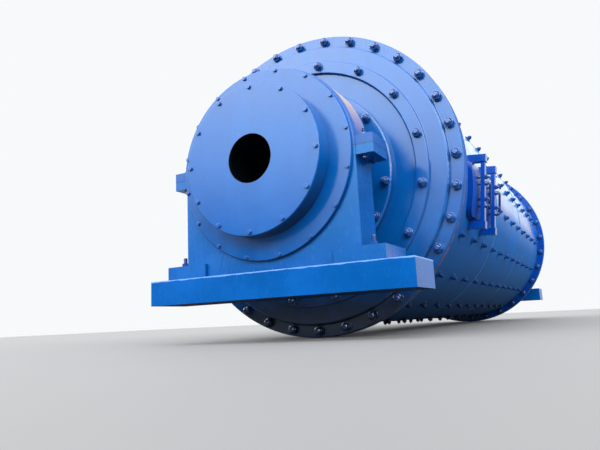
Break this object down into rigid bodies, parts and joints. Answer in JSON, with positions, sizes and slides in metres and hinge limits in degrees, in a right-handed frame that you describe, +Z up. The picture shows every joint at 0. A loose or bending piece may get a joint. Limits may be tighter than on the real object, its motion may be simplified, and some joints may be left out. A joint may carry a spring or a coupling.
{
  "type": "ball mill",
  "caption": "Long steel drum with bolted end flanges and hollow trunnions, turning in roller bearing housings on heavy sole plates, with bolted manholes in its side.",
  "frame": {"origin": "middle of the underside of the near sole plate", "axes": "+X along the mill axis from the near end to the far end, +Z up, manholes on the -Y side"},
  "size_m": [7.732, 2.6855, 2.646],
  "materials": {
    "blue_paint": "gloss",
    "cast_blue_paint": "satin",
    "roller_steel": "ground"
  },
  "bodies": {
    "bearings": {"sole_plate_near": "cast_blue_paint", "sole_plate_far": "cast_blue_paint", "bearing_base_near": "cast_blue_paint", "bearing_base_far": "cast_blue_paint", "bearing_cap_near": "cast_blue_paint", "bearing_cap_far": "cast_blue_paint", "roller_bearing_near": "roller_steel", "roller_bearing_far": "roller_steel", "wide_cover_near": "blue_paint", "wide_cover_far": "blue_paint", "cup_wall_near": "blue_paint", "cup_wall_far": "blue_paint", "end_plate_near": "blue_paint", "end_plate_far": "blue_paint", "rear_cover_near": "blue_paint", "rear_cover_far": "blue_paint"},
    "drum": {"shell": "blue_paint", "shell_flange_near": "blue_paint", "shell_flange_far": "blue_paint", "head_near": "blue_paint", "head_far": "blue_paint", "trunnion_near": "blue_paint", "trunnion_far": "blue_paint", "manhole_frame_1": "blue_paint", "manhole_frame_2": "blue_paint", "manhole_cover_1": "blue_paint", "manhole_cover_2": "blue_paint", "manhole_clamp_1": "blue_paint", "manhole_clamp_2": "blue_paint", "manhole_handle_1": "blue_paint", "manhole_handle_2": "blue_paint"}
  },
  "joints": [
    {"name": "drum_spin", "type": "hinge", "parent": "bearings", "child": "drum", "pos_m": [3.5, 0, 1.006], "axis": [1, 0, 0], "continuous": true}
  ]
}
